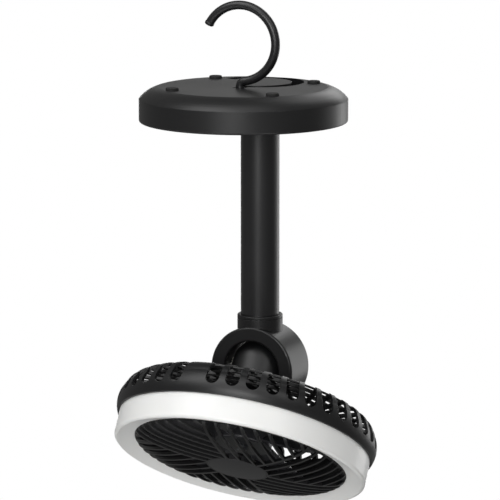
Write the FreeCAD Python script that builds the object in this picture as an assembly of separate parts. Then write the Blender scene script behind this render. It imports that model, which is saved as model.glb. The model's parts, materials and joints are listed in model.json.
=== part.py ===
import FreeCAD, Part
import math
import os

# A rechargeable camping fan that hangs from a fold-away hook. A round battery base is on top,
# a pole goes down from it to a yoke, and the yoke carries a tilting fan head with a light ring.
# Millimetres. While it is built, z = 0 is the base's pole-side rim, +Z is up towards the hook
# and -Y is the way the fan faces. The finished part's origin is the hook's inner bow.

# base
BASE_R = 75.0
BASE_H = 25.0
CREASE_Z = 16.4
PLATE_R = 60.4
SHOULDER_BULGE = 1.6
WALL = 2.4
PLATE_T = 2.2
RIM_ROUND = 1.5
LIP_H = 3.0
LIP_T = 1.8
LIP_FIT = 0.2
JOIN_LAP = 0.5

# rubber feet and the screws under them
FOOT_RING_R = 54.5
FOOT_R = 4.65
FOOT_H = 1.8
FOOT_SEAT = 1.0
FOOT_FIT = 0.15
FOOT_ROUND = 0.7
FOOT_ANGLES = (45.0, 135.0, 225.0, 315.0)
POST_R = 4.0
POST_SPLIT_Z = 12.0
BASE_SCREW_R = 1.5
BASE_SCREW_HEAD_R = 2.75
BASE_SCREW_HEAD_H = 2.0
BASE_SCREW_TIP_Z = 5.0
SCREW_FIT = 0.15

# hook
HOOK_WIRE_R = 3.2
HOOK_EYE_R = 3.6
HOOK_EYE_HALF = 3.4
HOOK_R = 27.2
HOOK_Y = -5.9
HOOK_STAND = 35.6
HOOK_TIP_DEG = 153.0
HOOK_BEND_R = 4.0
HOOK_TIP_ROUND = 1.2
HOOK_SINK = 3.8
GROOVE_IN_FIT = 0.7
GROOVE_OUT_FIT = 1.8
GROOVE_FLOOR_FIT = 0.4
GROOVE_WALL = 1.6
GROOVE_SPARE_DEG = 9.0
PIVOT_SIDE_FIT = 0.8
HOOK_PIN_R = 1.3
HOOK_PIN_FIT = 0.05
HOOK_PIN_HALF = 8.4
PIVOT_BOSS_T = 5.6

# pole and its flange in the base
POLE_R = 14.1
POLE_T = 1.3
POLE_Y = 30.7
POLE_LEN = 165.4
POLE_FIT = 0.1
FLANGE_Z = 7.4
FLANGE_T = 2.4
FLANGE_R = 22.4
PLUG_H = 6.0
FLANGE_SCREW_RING = 18.6
FLANGE_SCREW_R = 1.25
FLANGE_SCREW_HEAD_R = 2.6
FLANGE_SCREW_HEAD_H = 1.8
FLANGE_POST_R = 3.4
FLANGE_SCREW_ANGLES = (90.0, 210.0, 330.0)
FLANGE_SCREW_UP = 0.6
LEAD_R = 2.5
LEAD_FIT = 0.3

# yoke
YOKE_R = 31.9
YOKE_DEPTH = 34.0
YOKE_BORE_R = 21.3
YOKE_ROUND = 1.5
COLLAR_R = 16.6
COLLAR_UP = 39.6
COLLAR_ROUND = 0.8
COLLAR_GROOVE = (2.0, 0.6, 0.4)
SOCKET_DEPTH = 12.6
AXLE_DEEP = 7.7

# neck and tilt axle
NECK_FIT = 0.7
NECK_BORE_R = 9.0
AXLE_R = 4.0
AXLE_FIT = 0.05
AXLE_END_FIT = 0.3
AXLE_IN_NECK = 10.0
WASHER_R = 6.5
WASHER_T = 1.6
WASHER_GAP = 0.3
NECK_SCREW_RING = 16.2
NECK_SCREW_R = 1.25
NECK_SCREW_HEAD_R = 2.2
NECK_SCREW_HEAD_H = 1.6
NECK_SCREW_LEN = 12.0

# where the fan head sits: its own z = 0 is the grille's rim plane and +z is its back
TILT_DEG = 31.75
PIVOT_H = 70.3

# front grille
GRILLE_R = 78.2
GRILLE_DOME = 9.8
GRILLE_HUB_R = 22.8
GRILLE_RIM_T = 2.8
GRILLE_RIM_H = 4.5
SPOKES = 6
SPOKE_W = 2.4
RIB_W = 1.8
RIB_PITCH = 9.1
RIB_DEEP = 2.6
GRILLE_HUB_LAP = 2.0
GRILLE_RIM_UP = 0.6
CAP_R = 21.6
CAP_T = 1.6
CAP_FIT = 0.15
CAP_CROWN = 0.8

# light ring
RING_R = 93.0
RING_T = 2.0
RING_PROUD = 4.3
RING_CORNER = 2.4
RING_DISH = 0.4
RING_BORE_FIT = 0.3
PARTING_H = 14.7
FLANGE_LED_T = 2.2
BOARD_T = 1.5
BOARD_IN_R = 81.6
BOARD_OUT_R = 90.0
LED_COUNT = 24
LED_SIZE = (3.5, 2.8, 0.9)
LED_RING_R = 86.0

# shroud round the blades
SHROUD_T = 1.8
SHROUD_IN = 0.6
SHROUD_END_H = 26.0

# rear shell
SHELL_RIM_R = 94.6
SHELL_MAX_R = 96.4
SHELL_MAX_H = 23.5
SHELL_SIDE_R = 93.6
SHELL_SIDE_H = 32.0
SHELL_TOP_R = 83.0
BACK_H = 41.0
SHELL_T = 2.2
SHELL_SEAT = 4.6
SHELL_CORNER = (0.36, 0.66)
SLOT_PLACES = 41
SLOT_BLANKS = (0, 14, 27)
SLOT_FIRST_DEG = 94.3
SLOT_W = 9.8
SLOT_IN_W = 2.6
SLOT_IN_R = 47.5
SLOT_LOW_H = 21.5
SWIRL_R = 91.0
SWIRL_DEG = 21.0
BACK_RINGS = (57.5, 67.0, 76.5, 86.5)
BACK_RING_T = 1.6
BACK_RING_UNDER = 0.6
BACK_RING_OVER = 1.0
BOSS_RING_R = 86.0
BOSS_R = 3.2
HEAD_SCREW_R = 1.25
HEAD_SCREW_HEAD_R = 2.3
HEAD_SCREW_HEAD_H = 1.0
HEAD_SCREW_LEN = 10.0

# motor
SHAFT_R = 1.5
SHAFT_FIT = 0.03
SHAFT_FRONT_H = 4.0
BEARING_R = 4.0
BEARING_T = 4.0
BEARING_TUBE_T = 1.5
BEARING_FRONT_H = 19.0
BEARING_REAR_H = 31.0
STATOR_R = 12.4
STATOR_H = 10.0
STATOR_MID_H = 28.0
STATOR_TEETH = 9
STATOR_CORE_R = 7.6
STATOR_TOOTH_W = 2.4
STATOR_SHOE_T = 1.6
STATOR_SLOT_W = 1.4
AIR_GAP = 0.6
MAGNET_T = 1.3
ROTOR_T = 1.5
ROTOR_FRONT_H = 12.5
ROTOR_END_H = 34.0

# impeller
HUB_R = 21.0
HUB_FRONT_H = 8.0
HUB_NOSE = 2.0
BLADES = 5
BLADE_R = 72.8
BLADE_T = 1.5
BLADE_CAMBER = 3.0
BLADE_FRONT_H = 4.0
BLADE_ROOT_H = 24.0
BLADE_TIP_H = 19.5
BLADE_ROOT_CHORD = 24.0
BLADE_MID_CHORD = 46.0
BLADE_TIP_CHORD = 70.0
BLADE_SWEEP_DEG = 16.0
NUT_R = 4.2
NUT_T = 3.0

# batteries
CELL_R = 9.2
CELL_LEN = 65.0
CELL_LIFT = 0.3
CELL_NUB_R = 3.0
CELL_NUB_H = 0.8
CELL_FRONT_Y = (-22.0, -41.0)
CELL_SIDE_X = 52.2
CRADLE_H = 4.6
CRADLE_OVER = 1.0

# boards, buttons and sockets
BUTTON_X = 12.0
BUTTON_Y = -59.75
BUTTON_R = 5.5
BUTTON_FIT = 0.4
BUTTON_PROUD = 0.9
BUTTON_TRAVEL = 0.7
BUTTON_FLANGE_R = 6.6
BUTTON_FLANGE_T = 1.0
BUTTON_GAP = 0.3
BUTTON_ROUND = 0.4
SWITCH_SIDE = 6.0
SWITCH_T = 1.2
SWITCH_NUB_R = 1.6
SWITCH_NUB_H = 0.4
PANEL_BOARD = (48.0, 13.0, 1.6)
STANDOFF_R = 2.0
WINDOW = (12.0, 2.4)
CHARGE_BOARD = (24.0, 16.0, 1.6)
CHARGE_BOARD_Y = 63.0
CHARGE_BOARD_LIFT = 3.0
USB = (9.0, 7.4, 3.2)
USB_WALL = 0.4
USB_RECESS = 1.6
USB_FIT = 0.3
USB_TONGUE = (6.6, 0.8)

# worked out from the sizes above
FLOOR_T = WALL
PIVOT_Z = BASE_H - HOOK_SINK
HOOK_Z = PIVOT_Z + HOOK_STAND
BOW_Z = HOOK_Z + HOOK_R - HOOK_WIRE_R
GROOVE_Y = HOOK_Y + HOOK_STAND
YOKE_Z = FLANGE_Z - POLE_LEN + SOCKET_DEPTH - COLLAR_UP
NECK_R = YOKE_BORE_R - NECK_FIT
PLATE_IN_Z = BASE_H - PLATE_T
SHELL_IN_H = BACK_H - SHELL_T
HUB_IN_R = STATOR_R + AIR_GAP + MAGNET_T + ROTOR_T
CELL_Z = FLOOR_T + CELL_LIFT + CELL_R
BUTTON_IN_Z = FLOOR_T + BUTTON_GAP
SWITCH_LOW_Z = BUTTON_IN_Z + BUTTON_FLANGE_T + BUTTON_TRAVEL + BUTTON_GAP
PANEL_Z = SWITCH_LOW_Z + SWITCH_NUB_H + SWITCH_T
BLANK_ANGLES = [-SLOT_FIRST_DEG - 360.0 * place / SLOT_PLACES for place in SLOT_BLANKS]

Z_AXIS = FreeCAD.Vector(0, 0, 1)
ZERO = FreeCAD.Vector(0, 0, 0)


def vec(x, y, z):
    return FreeCAD.Vector(x, y, z)


def disc(radius, z0, z1, x=0.0, y=0.0):
    """A cylinder along Z."""
    return Part.makeCylinder(radius, z1 - z0, vec(x, y, z0))


def tube(r_out, r_in, z0, z1, x=0.0, y=0.0):
    """A tube along Z."""
    return disc(r_out, z0, z1, x, y).cut(disc(r_in, z0 - 1, z1 + 1, x, y))


def block(x0, x1, y0, y1, z0, z1):
    return Part.makeBox(x1 - x0, y1 - y0, z1 - z0, vec(x0, y0, z0))


def rod_x(radius, x0, x1, y, z):
    return Part.makeCylinder(radius, x1 - x0, vec(x0, y, z), vec(1, 0, 0))


def rod_y(radius, y0, y1, x, z):
    return Part.makeCylinder(radius, y1 - y0, vec(x, y0, z), vec(0, 1, 0))


def turned(shape, degrees):
    """A copy turned about the Z axis."""
    copy = shape.copy()
    copy.rotate(ZERO, Z_AXIS, degrees)
    return copy


def polar(radius, degrees):
    angle = math.radians(degrees)
    return radius * math.cos(angle), radius * math.sin(angle)


def revolved(start, *steps):
    """Turn a closed outline of (radius, z) points about Z. A step is the next point of a
    straight side, or a pair of points: one on an arc and the arc's end."""
    edges = []
    here = start
    for step in steps + (start,):
        if isinstance(step[0], tuple):
            mid, end = step
            arc = Part.Arc(vec(here[0], 0, here[1]), vec(mid[0], 0, mid[1]), vec(end[0], 0, end[1]))
            edges.append(arc.toShape())
            here = end
        elif abs(step[0] - here[0]) + abs(step[1] - here[1]) > 1e-6:
            edges.append(Part.makeLine(vec(here[0], 0, here[1]), vec(step[0], 0, step[1])))
            here = step
    return Part.Face(Part.Wire(edges)).revolve(ZERO, Z_AXIS, 360)


def round_edges(shape, radius, chosen):
    """Fillet the edges for which chosen(edge) is true."""
    edges = [edge for edge in shape.Edges if chosen(edge)]
    return shape.makeFillet(radius, edges)


def circle_at(z, radius):
    """A test for full circles of one radius in a plane of one height."""
    def test(edge):
        curve = edge.Curve
        flat = isinstance(curve, Part.Circle) and abs(edge.BoundBox.ZLength) < 1e-6
        return flat and abs(curve.Center.z - z) < 1e-6 and abs(curve.Radius - radius) < 1e-6
    return test


def head(shape):
    """Move a shape from the fan head's own frame to its place under the yoke."""
    placed = shape.copy()
    placed.translate(vec(0, 0, -PIVOT_H))
    placed.rotate(ZERO, vec(1, 0, 0), -TILT_DEG)
    placed.translate(vec(0, POLE_Y, YOKE_Z))
    return placed


# base covers and feet

def shoulder(inset, drop):
    """The shoulder's low end, a point on its arc and its high end, moved inwards and down."""
    low = (BASE_R - inset, CREASE_Z)
    high = (PLATE_R - drop / 2, BASE_H - drop)
    run = (low[0] - high[0], high[1] - low[1])
    length = math.hypot(run[0], run[1])
    mid = ((low[0] + high[0]) / 2 + SHOULDER_BULGE * run[1] / length,
           (low[1] + high[1]) / 2 + SHOULDER_BULGE * run[0] / length)
    return low, mid, high


def foot_places():
    return [polar(FOOT_RING_R, angle) for angle in FOOT_ANGLES]


def groove_sector(r_in, r_out, z0, z1, start_deg, end_deg):
    """A ring sector round the centre that the folded hook's ring takes."""
    sweep = end_deg - start_deg
    outer = Part.makeCylinder(r_out, z1 - z0, vec(0, 0, z0), Z_AXIS, sweep)
    inner = disc(r_in, z0 - 1, z1 + 1)
    sector = turned(outer.cut(inner), start_deg)
    sector.translate(vec(0, GROOVE_Y, 0))
    return sector


def groove_sizes():
    r_in = HOOK_R - HOOK_WIRE_R - GROOVE_IN_FIT
    r_out = HOOK_R + HOOK_WIRE_R + GROOVE_OUT_FIT
    floor = PIVOT_Z - HOOK_EYE_R - GROOVE_FLOOR_FIT
    return r_in, r_out, floor


def base_foot_cover():
    """The feet's plate, its shoulder and the trough that takes the folded hook."""
    low, mid, high = shoulder(0.0, 0.0)
    outer = revolved((0, CREASE_Z), low, (mid, high), (0, BASE_H))
    low, mid, high = shoulder(WALL, PLATE_T)
    inner = revolved((0, CREASE_Z - 1), (low[0], CREASE_Z - 1), low, (mid, high), (0, PLATE_IN_Z))
    cover = outer.cut(inner)
    lip_r = BASE_R - WALL - LIP_FIT
    lip = tube(lip_r, lip_r - LIP_T, CREASE_Z - LIP_H, BASE_H)
    cover = cover.fuse(lip.common(outer.fuse(disc(BASE_R, CREASE_Z - LIP_H, CREASE_Z))))

    r_in, r_out, floor = groove_sizes()
    end = HOOK_TIP_DEG + GROOVE_SPARE_DEG
    wall_deg = math.degrees(GROOVE_WALL / HOOK_R)
    trough = groove_sector(r_in - GROOVE_WALL, r_out + GROOVE_WALL, floor - GROOVE_WALL,
                           PLATE_IN_Z, -90.0, end + wall_deg)
    gap = HOOK_EYE_R + PIVOT_SIDE_FIT
    boss_y = HOOK_Y - gap - GROOVE_WALL
    boss = block(-gap - PIVOT_BOSS_T, gap + PIVOT_BOSS_T, boss_y, GROOVE_Y - r_in + GROOVE_WALL,
                 floor - GROOVE_WALL, PLATE_IN_Z)
    posts = [disc(POST_R, POST_SPLIT_Z, PLATE_IN_Z, x, y) for x, y in foot_places()]
    cover = cover.fuse([trough, boss] + posts)

    groove = groove_sector(r_in, r_out, floor, BASE_H + 1, -90.0, end)
    pocket = block(-gap, gap, HOOK_Y - gap, GROOVE_Y - r_in, floor, BASE_H + 1)
    pin_hole = rod_x(HOOK_PIN_R + HOOK_PIN_FIT, -HOOK_PIN_HALF, HOOK_PIN_HALF, HOOK_Y, PIVOT_Z)
    cuts = [groove, pocket, pin_hole]
    for x, y in foot_places():
        cuts.append(disc(FOOT_R + FOOT_FIT, BASE_H - FOOT_SEAT, BASE_H + 1, x, y))
        cuts.append(disc(BASE_SCREW_HEAD_R + SCREW_FIT, screw_seat_z(), BASE_H, x, y))
        cuts.append(disc(BASE_SCREW_R + SCREW_FIT, POST_SPLIT_Z - 1, BASE_H, x, y))
    return cover.cut(cuts)


def screw_seat_z():
    return BASE_H - FOOT_SEAT - BASE_SCREW_HEAD_H - FOOT_FIT


def base_screws():
    """Four screws that clamp the two covers, hidden under the feet."""
    seat = screw_seat_z()
    screws = []
    for x, y in foot_places():
        stem = disc(BASE_SCREW_R, BASE_SCREW_TIP_Z, seat, x, y)
        screws.append(stem.fuse(disc(BASE_SCREW_HEAD_R, seat, seat + BASE_SCREW_HEAD_H, x, y)))
    return Part.makeCompound(screws)


def foot(index):
    x, y = foot_places()[index]
    pad = disc(FOOT_R, BASE_H - FOOT_SEAT, BASE_H + FOOT_H, x, y)
    return round_edges(pad, FOOT_ROUND, circle_at(BASE_H + FOOT_H, FOOT_R))


def base_pole_cover():
    """The base's wall and the face that the pole comes out of, with the posts inside."""
    cup = disc(BASE_R, 0, CREASE_Z)
    cup = round_edges(cup, RIM_ROUND, circle_at(0.0, BASE_R))
    cup = cup.cut(disc(BASE_R - WALL, FLOOR_T, CREASE_Z + 1))
    adds = [disc(POST_R, FLOOR_T - JOIN_LAP, POST_SPLIT_Z, x, y) for x, y in foot_places()]
    adds += [disc(FLANGE_POST_R, FLOOR_T - JOIN_LAP, FLANGE_Z, x, y) for x, y in flange_screw_places()]
    adds += [disc(STANDOFF_R, FLOOR_T - JOIN_LAP, PANEL_Z, x, BUTTON_Y) for x in panel_standoffs()]
    board_z = FLOOR_T + CHARGE_BOARD_LIFT
    adds += [disc(STANDOFF_R, FLOOR_T - JOIN_LAP, board_z, x, y) for x, y in charge_standoffs()]
    cup = cup.fuse(adds)
    cuts = [disc(BASE_SCREW_R, BASE_SCREW_TIP_Z, POST_SPLIT_Z + 1, x, y) for x, y in foot_places()]
    cuts += [disc(FLANGE_SCREW_R, FLOOR_T + FLANGE_SCREW_UP, FLANGE_Z + 1, x, y)
             for x, y in flange_screw_places()]
    cuts.append(disc(POLE_R + POLE_FIT, -1, FLANGE_Z, 0, POLE_Y))
    for side in (-1, 1):
        cuts.append(disc(BUTTON_R + BUTTON_FIT, -1, FLOOR_T + 0.1, side * BUTTON_X, BUTTON_Y))
    cuts.append(window_block(-1, FLOOR_T + 0.1))
    x, z = USB[0] / 2 + USB_FIT, FLOOR_T + CHARGE_BOARD_LIFT + CHARGE_BOARD[2]
    cuts.append(block(-x, x, BASE_R - WALL - 1, BASE_R + 1, z - USB_FIT, z + USB[2] + USB_FIT))
    return cup.cut(cuts)


# hook

def bent_wire(x, z, direction, centre_x, centre_z, degrees):
    """A bent length of the hook's wire. Its round section at (x, z) faces direction (x, z) and
    turns about the centre, from +X towards +Z when degrees is positive."""
    ring = Part.makeCircle(HOOK_WIRE_R, vec(x, HOOK_Y, z), vec(direction[0], 0, direction[1]))
    section = Part.Face(Part.Wire([ring]))
    axis = vec(0, -math.copysign(1, degrees), 0)
    return section.revolve(vec(centre_x, HOOK_Y, centre_z), axis, abs(degrees))


def hook():
    """A round-wire hook: an eye on the pin, a short stem, a bend and three quarters of a ring."""
    reach = HOOK_R + HOOK_BEND_R
    bend_z = HOOK_Z - math.sqrt(reach ** 2 - HOOK_BEND_R ** 2)
    start = -math.degrees(math.acos(HOOK_BEND_R / reach))
    join_x, join_z = polar(HOOK_R, start)
    tip_x, tip_z = polar(HOOK_R, HOOK_TIP_DEG)
    tip = vec(tip_x, HOOK_Y, HOOK_Z + tip_z)
    along = (-math.sin(math.radians(start)), math.cos(math.radians(start)))
    stem = disc(HOOK_WIRE_R, PIVOT_Z, bend_z, 0, HOOK_Y)
    bend = bent_wire(0, bend_z, (0, 1), HOOK_BEND_R, bend_z, start)
    ring = bent_wire(join_x, HOOK_Z + join_z, along, 0, HOOK_Z, HOOK_TIP_DEG - start)

    def at_tip(edge):
        return isinstance(edge.Curve, Part.Circle) and edge.Curve.Center.sub(tip).Length < 1e-3

    ring = round_edges(ring, HOOK_TIP_ROUND, at_tip)
    eye = rod_x(HOOK_EYE_R, -HOOK_EYE_HALF, HOOK_EYE_HALF, HOOK_Y, PIVOT_Z)
    far = 2 * HOOK_EYE_HALF
    hole = rod_x(HOOK_PIN_R + HOOK_PIN_FIT, -far, far, HOOK_Y, PIVOT_Z)
    return eye.fuse([stem, bend, ring]).removeSplitter().cut(hole)


def hook_pin():
    return rod_x(HOOK_PIN_R, -HOOK_PIN_HALF, HOOK_PIN_HALF, HOOK_Y, PIVOT_Z)


# inside the base

def cell(centre_x, centre_y, along_x):
    """A round lithium cell lying flat, with its raised end contact."""
    half = CELL_LEN / 2
    top = half - CELL_NUB_H
    if along_x:
        body = rod_x(CELL_R, -half, top, centre_y, CELL_Z)
        return body.fuse(rod_x(CELL_NUB_R, top, half, centre_y, CELL_Z))
    body = rod_y(CELL_R, -half, top, centre_x, CELL_Z)
    return body.fuse(rod_y(CELL_NUB_R, top, half, centre_x, CELL_Z))


def front_cradle():
    """A tray that both front cells lie in."""
    half = CELL_LEN / 2 - CRADLE_OVER
    low, high = min(CELL_FRONT_Y) - CELL_R, max(CELL_FRONT_Y) + CELL_R
    tray = block(-half, half, low, high, FLOOR_T, FLOOR_T + CRADLE_H)
    return tray.cut([rod_x(CELL_R, -CELL_LEN, CELL_LEN, y, CELL_Z) for y in CELL_FRONT_Y])


def side_cradle(side):
    half = CELL_LEN / 2 - CRADLE_OVER
    x = side * CELL_SIDE_X
    tray = block(x - CELL_R + 1, x + CELL_R - 1, -half, half, FLOOR_T, FLOOR_T + CRADLE_H)
    return tray.cut(rod_y(CELL_R, -CELL_LEN, CELL_LEN, x, CELL_Z))


def panel_standoffs():
    x = PANEL_BOARD[0] / 2 - STANDOFF_R
    return (-x, x)


def window_block(z0, z1):
    x, y = WINDOW[0] / 2, WINDOW[1] / 2
    return block(-x, x, BUTTON_Y - y, BUTTON_Y + y, z0, z1)


def panel_board():
    x, y = PANEL_BOARD[0] / 2, PANEL_BOARD[1] / 2
    return block(-x, x, BUTTON_Y - y, BUTTON_Y + y, PANEL_Z, PANEL_Z + PANEL_BOARD[2])


def touch_switches():
    """The two small switches under the panel board, one for each button."""
    half = SWITCH_SIDE / 2
    bodies = []
    for x in (-BUTTON_X, BUTTON_X):
        case = block(x - half, x + half, BUTTON_Y - half, BUTTON_Y + half, PANEL_Z - SWITCH_T, PANEL_Z)
        bodies.append(case.fuse(disc(SWITCH_NUB_R, SWITCH_LOW_Z, PANEL_Z - SWITCH_T, x, BUTTON_Y)))
    return Part.makeCompound(bodies)


def button(side):
    """A round key with a flange that keeps it in the cover."""
    x = side * BUTTON_X
    key = disc(BUTTON_R, -BUTTON_PROUD, BUTTON_IN_Z, x, BUTTON_Y)
    key = round_edges(key, BUTTON_ROUND, circle_at(-BUTTON_PROUD, BUTTON_R))
    return key.fuse(disc(BUTTON_FLANGE_R, BUTTON_IN_Z, BUTTON_IN_Z + BUTTON_FLANGE_T, x, BUTTON_Y))


def charge_standoffs():
    x = CHARGE_BOARD[0] / 2 - STANDOFF_R
    y = CHARGE_BOARD[1] / 2 - STANDOFF_R
    return [(sx * x, CHARGE_BOARD_Y + sy * y) for sx in (-1, 1) for sy in (-1, 1)]


def charge_board():
    x, y, z = CHARGE_BOARD[0] / 2, CHARGE_BOARD[1] / 2, FLOOR_T + CHARGE_BOARD_LIFT
    return block(-x, x, CHARGE_BOARD_Y - y, CHARGE_BOARD_Y + y, z, z + CHARGE_BOARD[2])


def usb_socket():
    """The charging socket: an open metal mouth with its tongue."""
    x, z0 = USB[0] / 2, FLOOR_T + CHARGE_BOARD_LIFT + CHARGE_BOARD[2]
    y1 = BASE_R - USB_RECESS
    y0, z1 = y1 - USB[1], z0 + USB[2]
    case = block(-x, x, y0, y1, z0, z1)
    mouth = block(-x + USB_WALL, x - USB_WALL, y0 + USB[1] / 4, y1 + 1, z0 + USB_WALL, z1 - USB_WALL)
    tongue_x, tongue_z = USB_TONGUE[0] / 2, USB_TONGUE[1] / 2
    mid = (z0 + z1) / 2
    tongue = block(-tongue_x, tongue_x, y0, y1 - USB_RECESS / 2, mid - tongue_z, mid + tongue_z)
    return case.cut(mouth).fuse(tongue)


# pole

def flange_screw_places():
    places = []
    for angle in FLANGE_SCREW_ANGLES:
        x, y = polar(FLANGE_SCREW_RING, angle)
        places.append((x, POLE_Y + y))
    return places


def pole():
    return tube(POLE_R, POLE_R - POLE_T, FLANGE_Z - POLE_LEN, FLANGE_Z, 0, POLE_Y)


def pole_flange():
    """A plate on the pole's top end, with a plug down into the tube and a hole for the lead."""
    plate = disc(FLANGE_R, FLANGE_Z, FLANGE_Z + FLANGE_T, 0, POLE_Y)
    plug = disc(POLE_R - POLE_T, FLANGE_Z - PLUG_H, FLANGE_Z, 0, POLE_Y)
    holes = [disc(FLANGE_SCREW_R + SCREW_FIT, 0, FLANGE_Z + 2 * FLANGE_T, x, y)
             for x, y in flange_screw_places()]
    holes.append(disc(LEAD_R + LEAD_FIT, 0, FLANGE_Z + 2 * FLANGE_T, 0, POLE_Y))
    return plate.fuse(plug).cut(holes)


def flange_screws():
    seat = FLANGE_Z + FLANGE_T
    screws = []
    for x, y in flange_screw_places():
        stem = disc(FLANGE_SCREW_R, FLOOR_T + FLANGE_SCREW_UP, seat, x, y)
        screws.append(stem.fuse(disc(FLANGE_SCREW_HEAD_R, seat, seat + FLANGE_SCREW_HEAD_H, x, y)))
    return Part.makeCompound(screws)


def pole_lead():
    """The lead in the pole, from the base to the yoke's hollow."""
    return disc(LEAD_R, YOKE_Z + YOKE_BORE_R + 1, FLANGE_Z + FLANGE_T + 1, 0, POLE_Y)


# yoke, axle and neck, with the yoke's centre at the tilt axis

def yoke():
    """A round block with a bore from front to back, open below so that the neck can swing, and
    a collar on top that takes the pole."""
    half = YOKE_DEPTH / 2
    drum = rod_y(YOKE_R, -half, half, 0, 0)
    bore = rod_y(YOKE_BORE_R, -YOKE_DEPTH, YOKE_DEPTH, 0, 0)
    slot = block(-YOKE_BORE_R, YOKE_BORE_R, -YOKE_DEPTH, YOKE_DEPTH, -YOKE_R - 1, 0)
    arch = drum.cut(bore.fuse(slot).removeSplitter())
    arch = round_edges(arch, YOKE_ROUND, lambda edge: abs(edge.BoundBox.YLength) < 1e-6)
    collar = disc(COLLAR_R, (YOKE_BORE_R + YOKE_R) / 2, COLLAR_UP)
    body = arch.fuse(round_edges(collar, COLLAR_ROUND, circle_at(COLLAR_UP, COLLAR_R)))
    socket = disc(POLE_R + POLE_FIT, COLLAR_UP - SOCKET_DEPTH, COLLAR_UP + 1)
    lead_hole = disc(LEAD_R + LEAD_FIT, 0, COLLAR_UP)
    reach = YOKE_BORE_R + AXLE_DEEP
    axle_hole = rod_x(AXLE_R + AXLE_FIT, -reach, reach, 0, 0)
    down, wide, deep = COLLAR_GROOVE
    groove = tube(COLLAR_R + 1, COLLAR_R - deep, COLLAR_UP - down - wide, COLLAR_UP - down)
    body = body.cut([socket, lead_hole, axle_hole, groove])
    body.translate(vec(0, POLE_Y, YOKE_Z))
    return body


def washer_span():
    """The washers' inner and outer faces, out from the middle of the neck."""
    outer = math.sqrt(YOKE_BORE_R ** 2 - WASHER_R ** 2) - WASHER_GAP
    return outer - WASHER_T, outer


def neck():
    """The head's round neck. Its top is a ball that turns on the axle in the yoke."""
    inner_x, outer_x = washer_span()
    body = disc(NECK_R, BACK_H, PIVOT_H).fuse(Part.makeSphere(NECK_R, vec(0, 0, PIVOT_H)))
    cuts = [disc(NECK_BORE_R, BACK_H - 1, PIVOT_H - AXLE_R - 3 * SHELL_T)]
    for side in (-1, 1):
        near, far = sorted((side * inner_x, side * (outer_x + 2)))
        cuts.append(rod_x(WASHER_R + NECK_FIT, near, far, 0, PIVOT_H))
        near, far = sorted((side * AXLE_IN_NECK, side * NECK_R))
        cuts.append(rod_x(AXLE_R, near, far, 0, PIVOT_H))
    tip = BACK_H + NECK_SCREW_LEN - SHELL_T
    cuts += [disc(NECK_SCREW_R, BACK_H - 1, tip, x, y) for x, y in neck_screw_places()]
    return head(body.cut(cuts))


def tilt_pin(side):
    """One of the two pins that the head tilts on, from inside the neck to the blind hole."""
    near, far = sorted((side * AXLE_IN_NECK, side * (YOKE_BORE_R + AXLE_DEEP - AXLE_END_FIT)))
    return head(rod_x(AXLE_R, near, far, 0, PIVOT_H))


def tilt_washer(side):
    inner_x, outer_x = washer_span()
    near, far = sorted((side * inner_x, side * outer_x))
    ring = rod_x(WASHER_R, near, far, 0, PIVOT_H)
    return head(ring.cut(rod_x(AXLE_R + AXLE_FIT, near - 1, far + 1, 0, PIVOT_H)))


def neck_screw_places():
    return [polar(NECK_SCREW_RING, angle) for angle in BLANK_ANGLES]


def neck_screws():
    screws = []
    for x, y in neck_screw_places():
        stem = disc(NECK_SCREW_R, SHELL_IN_H, SHELL_IN_H + NECK_SCREW_LEN, x, y)
        cap = disc(NECK_SCREW_HEAD_R, SHELL_IN_H - NECK_SCREW_HEAD_H, SHELL_IN_H, x, y)
        screws.append(stem.fuse(cap))
    return head(Part.makeCompound(screws))


# front grille

def quarter_dome(radius, height):
    """The quarter ellipse from the rim to the edge of the grille's hub."""
    centre = vec(GRILLE_HUB_R, 0, 0)
    ellipse = Part.Ellipse(vec(radius, 0, 0), vec(GRILLE_HUB_R, 0, -height), centre)
    return Part.ArcOfEllipse(ellipse, 0, math.pi / 2).toShape()


def dome_band():
    """The domed band that the ribs are cut from."""
    outer = quarter_dome(GRILLE_R, GRILLE_DOME)
    inner = quarter_dome(GRILLE_R - GRILLE_RIM_T, GRILLE_DOME - RIB_DEEP)
    hub_in = GRILLE_HUB_R - GRILLE_HUB_LAP
    points = [vec(GRILLE_HUB_R, 0, -GRILLE_DOME), vec(hub_in, 0, -GRILLE_DOME),
              vec(hub_in, 0, -GRILLE_DOME + RIB_DEEP), vec(GRILLE_HUB_R, 0, -GRILLE_DOME + RIB_DEEP)]
    sides = [Part.makeLine(a, b) for a, b in zip(points, points[1:])]
    foot_line = Part.makeLine(vec(GRILLE_R - GRILLE_RIM_T, 0, 0), vec(GRILLE_R, 0, 0))
    outline = Part.Wire(Part.__sortEdges__([outer] + sides + [inner, foot_line]))
    return Part.Face(outline).revolve(ZERO, Z_AXIS, 360)


def rib_sector():
    """One sixth of the ribs in plan: a spoke, and bars beside it that run parallel from the
    next spoke to the rim."""
    next_slope = math.tan(math.radians(90.0 - 360.0 / SPOKES))
    bars = [block(-SPOKE_W / 2, SPOKE_W / 2, -GRILLE_R, -GRILLE_HUB_R + 1, -GRILLE_DOME, 1)]
    index = 1
    while index * RIB_PITCH < GRILLE_R * math.cos(math.atan(next_slope)) - RIB_W:
        x = index * RIB_PITCH
        start = max(x * next_slope, math.sqrt(max(GRILLE_HUB_R ** 2 - x ** 2, 0)) - 1)
        end = math.sqrt(GRILLE_R ** 2 - x ** 2)
        bars.append(block(x - RIB_W / 2, x + RIB_W / 2, -end, -start, -GRILLE_DOME, 1))
        index += 1
    return bars


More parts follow.
